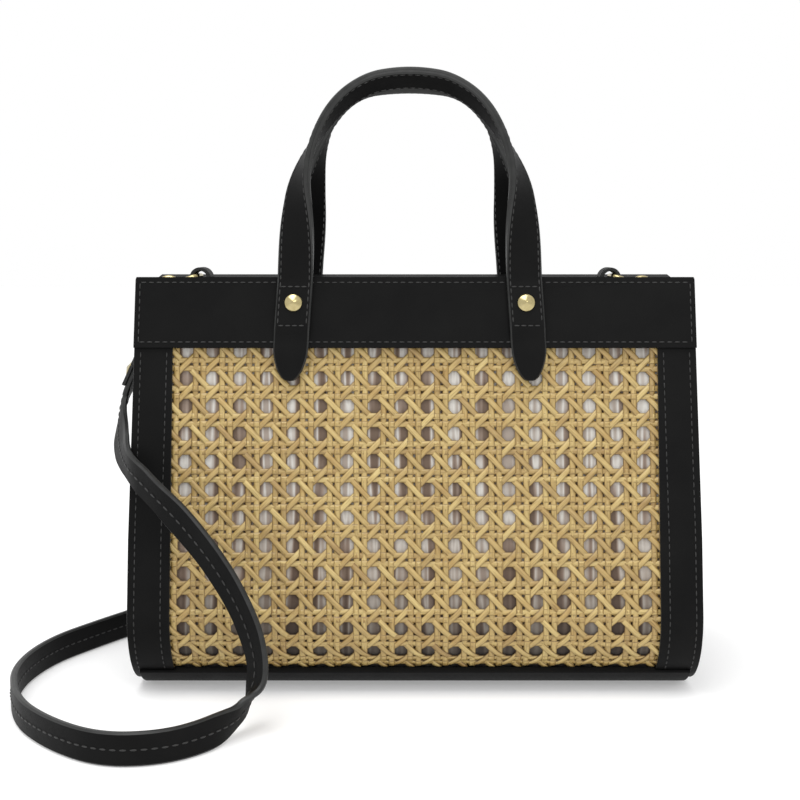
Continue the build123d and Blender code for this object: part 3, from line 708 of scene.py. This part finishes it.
def buildHandle(prefix, back):
    # two layers, a row of stitches along each edge, and two short rows across each tab
    roundings = [handle["outerRounding"], handle["innerRounding"]]
    for outer in (True, False):
        stations = handleStations(prefix, outer)
        centres, acrosses, outs, widths = zip(*stations)
        bm = bmesh.new()
        addRibbon(bm, centres, acrosses, outs, widths, handle["layer"], *roundings)
        roundings.reverse()  # the inner layer is rounded on its other face
        name = f"{prefix}Handle" if outer else f"{prefix}HandleLining"
        # the inner layer takes the darker copy of the leather, which is painted shade
        piece = makePiece(name, bm, [blackLeather if outer else shadedInnerLeather, paintedEdge])
        placeHandle(piece, back)
        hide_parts(f"{prefix}_handle" if outer else f"{prefix}_handle_lining")
        bm = bmesh.new()
        facing = 1 if outer else -1
        lift = (handle["layer"] / 2 + handle["stitchLift"]) * facing
        keep = [s for s in stations if s[3] > handle["width"] - 0.0001]  # not where the tab narrows
        if outer:
            keep = [s for s in keep if s[0].z > handle["rowFoot"]]
        for side in (1, -1):
            row = [c + across * (side * handle["edgeRow"]) + out * lift for c, across, out, width in keep]
            addStitchRow(bm, row, [s[2] * facing for s in keep], handle["pitch"], handle["stitch"])
        if outer:
            for sign in (-1, 1):
                for run in handle["boxRows"]:
                    x = sign * legX(run)
                    a, out = wallPoint(x - handle["edgeRow"], run, handle["boxDepth"])
                    b, out = wallPoint(x + handle["edgeRow"], run, handle["boxDepth"])
                    addStitchRow(bm, [a, b], [out, out], handle["boxPitch"], handle["boxStitch"])
        placeHandle(makePiece(f"{name}Stitches", bm, [stitchThread]), back)


print("handles")
buildHandle("front", False)
buildHandle("back", True)


def isThin(face, edgeWidth):
    # true for a long narrow face that isn't only a slice of a flat or gently bent one
    rim = face.calc_perimeter()
    if rim == 0 or face.calc_area() / rim > edgeWidth:
        return False
    wide = 0
    for e in face.edges:
        for other in e.link_faces:
            level = other is not face and other.normal.dot(face.normal) > 0.97
            if level and other.calc_area() > face.calc_area() * 0.5:
                wide += e.calc_length()
    return wide < rim * 0.3


# how much each kind of piece is softened; faces narrower than edge count as cut edges
soft = {"leather": 0.0005, "small": 0.00035, "lining": 0.0002, "cap": 0.0003, "metal": 0.00025,
        "edge": 0.00095}


def softPiece(node, material, soften, edgeWidth=soft["edge"], body="bag"):
    # a solid's own shape with its edges softened and its thin faces painted as cut edges
    bm = bmesh.new()
    bm.from_mesh(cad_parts[node].data)
    bmesh.ops.remove_doubles(bm, verts=bm.verts, dist=2e-6)
    bmesh.ops.dissolve_limit(bm, angle_limit=math.radians(1.0), verts=bm.verts, edges=bm.edges)
    for f in bm.faces:
        f.material_index = 1 if isThin(f, edgeWidth) else 0
    first, *rest = node.split("_")
    name = first + "".join(word.capitalize() for word in rest)
    piece = makePiece(name, bm, [material, paintedEdge if material is not brass else brass], body, sharp=30)
    bevel = piece.modifiers.new("softEdges", "BEVEL")
    bevel.width = soften
    bevel.segments = 2
    bevel.limit_method = "ANGLE"
    bevel.angle_limit = math.radians(38)
    bevel.harden_normals = True
    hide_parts(node)
    return piece


print("leather of the body")
for node in ("front_top_band", "back_top_band", "front_left_strip", "front_right_strip", "back_panel",
             "base_panel", "left_gusset", "right_gusset", "left_ring_tab", "right_ring_tab",
             "left_strap_end", "right_strap_end"):
    small = "tab" in node or "strap_end" in node
    piece = softPiece(node, blackLeather, soft["small" if small else "leather"],
                      0.0 if "gusset" in node else soft["edge"])
softPiece("lining", stripedLining, soft["lining"], 0.0)

print("stitching of the body")
seam = {"bandRows": (0.0026, 0.0309), "bandInset": 0.0023, "rowInset": 0.0022, "lift": 0.0001,
        "stripRows": (0.035, straight + 0.034), "outerInset": 0.0033, "innerInset": 0.0156, "pitch": 0.0036,
        "stitch": (0.0026, 0.0007, 0.0006)}


def addSeam(bm, spots, depth, back):
    # spots are (share of the half width, inset from the wall's side edge, how far down the wall)
    points, outs = [], []
    for share, inset, run in spots:
        half = edgeHalf(wallPoint(0, run, 0)[0].z) - inset
        p, out = wallPoint(share * half, run, depth - seam["lift"], back)
        points.append(p)
        outs.append(out)
    addStitchRow(bm, points, outs, seam["pitch"], seam["stitch"])


bm = bmesh.new()
for back in (False, True):
    for run in seam["bandRows"]:
        addSeam(bm, [(k / 30 - 1, seam["rowInset"], run) for k in range(61)], -wall["band"], back)
    for sign in (-1, 1):
        columns = [(*seam["bandRows"], seam["bandInset"], -wall["band"]),
                   (*seam["stripRows"], seam["outerInset"], 0.0)]
        if not back:
            columns.append((*seam["stripRows"], seam["innerInset"], 0.0))
        for start, end, inset, depth in columns:
            addSeam(bm, [(sign, inset, start + (end - start) * k / 80) for k in range(81)], depth, back)
makePiece("bodyStitches", bm, [stitchThread])


print("metal")
# shape is the head's profile from its point outward, as shares of its radius and rise
stud = {"head": 0.0084, "rise": 0.0024, "steps": 40, "shank": 0.0015, "shankLength": 0.004, "depth": -0.0052,
        "shape": ((0.0, 1.0), (0.1, 0.985), (0.45, 0.74), (0.8, 0.46), (0.93, 0.33), (0.99, 0.2),
                  (1.0, 0.125), (0.97, 0.0))}


def addStud(bm, place, out):
    # a turned head: short rim, rounded shoulder, then a shallow point
    profile = [(stud["head"] / 2 * across, stud["rise"] * up) for across, up in stud["shape"]]
    profile += [(stud["shank"], 0.0), (stud["shank"], -stud["shankLength"])]
    verts = [bm.verts.new((x, 0, z)) for x, z in profile]
    edges = [bm.edges.new(pair) for pair in zip(verts, verts[1:])]
    bmesh.ops.spin(bm, geom=verts + edges, cent=(0, 0, 0), axis=(0, 0, 1), angle=math.tau,
                   steps=stud["steps"], use_merge=True)
    turn = out.to_track_quat("Z", "Y").to_matrix().to_4x4()
    bmesh.ops.transform(bm, matrix=Matrix.Translation(place) @ turn, verts=bm.verts)


for prefix, back in (("front", False), ("back", True)):
    for sign, name in ((-1, "left"), (1, "right")):
        bm = bmesh.new()
        x = handle["shift"] + sign * handle["spacing"] / 2
        addStud(bm, *wallPoint(x, handle["drop"], stud["depth"], back))
        bmesh.ops.remove_doubles(bm, verts=bm.verts, dist=1e-6)
        piece = makePiece(f"{prefix}{name.capitalize()}Stud", bm, [brass], sharp=50)
        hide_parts(f"{prefix}_{name}_stud")
        softPiece(f"{prefix}_{name}_stud_back", brass, soft["cap"])
for side in ("left", "right"):
    for part in ("ring", "hook", "bolt"):
        softPiece(f"{side}_{part}", brass, soft["metal"], body=f"{side}_{part}")
    softPiece(f"{side}_eye", brass, soft["metal"])
    for part in ("strap_stud", "strap_stud_back"):
        softPiece(f"{side}_{part}", brass, soft["metal"])


# the two boards are hidden in the bag and keep the solids' own shape
for node in ("back_board", "base_board"):
    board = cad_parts[node].data
    board.materials.clear()
    board.materials.append(stiffeningBoard)


print("floor and light")
floorMat, nodes, links, shader = newMaterial("paleFloor")
shader.inputs["Base Color"].default_value = (0.72, 0.72, 0.72, 1)
shader.inputs["Emission Color"].default_value = (1, 1, 1, 1)
shader.inputs["Emission Strength"].default_value = 0.3
shader.inputs["Roughness"].default_value = 0.9
shader.inputs["Specular IOR Level"].default_value = 0.1
bm = bmesh.new()
bmesh.ops.create_grid(bm, x_segments=1, y_segments=1, size=6.0)
floorMesh = bpy.data.meshes.new("floor")
bm.to_mesh(floorMesh)
bm.free()
floorMesh.materials.append(floorMat)
floor = bpy.data.objects.new("floor", floorMesh)
bpy.context.scene.collection.objects.link(floor)

bpy.context.scene.view_settings.view_transform = "Standard"
world = bpy.data.worlds.new("softRoom")
bpy.context.scene.world = world
world.use_nodes = True
world.node_tree.nodes["Background"].inputs["Color"].default_value = (1, 1, 1, 1)
world.node_tree.nodes["Background"].inputs["Strength"].default_value = 1.0
lamps = {"keyLamp": {"place": (-0.25, -0.35, 1.3), "target": (0, 0, 0.1), "size": 0.8, "power": 9.0},
         "frontLamp": {"place": (0.5, -1.2, 1.0), "target": (0, 0, 0.12), "size": 0.5, "power": 3.0}}
for name, lamp in lamps.items():
    data = bpy.data.lights.new(name, "AREA")
    data.size = lamp["size"]
    data.energy = lamp["power"]
    holder = bpy.data.objects.new(name, data)
    holder.location = lamp["place"]
    aim = Vector(lamp["target"]) - Vector(lamp["place"])
    holder.rotation_euler = aim.to_track_quat("-Z", "Y").to_euler()
    bpy.context.scene.collection.objects.link(holder)

bpy.context.view_layer.update()
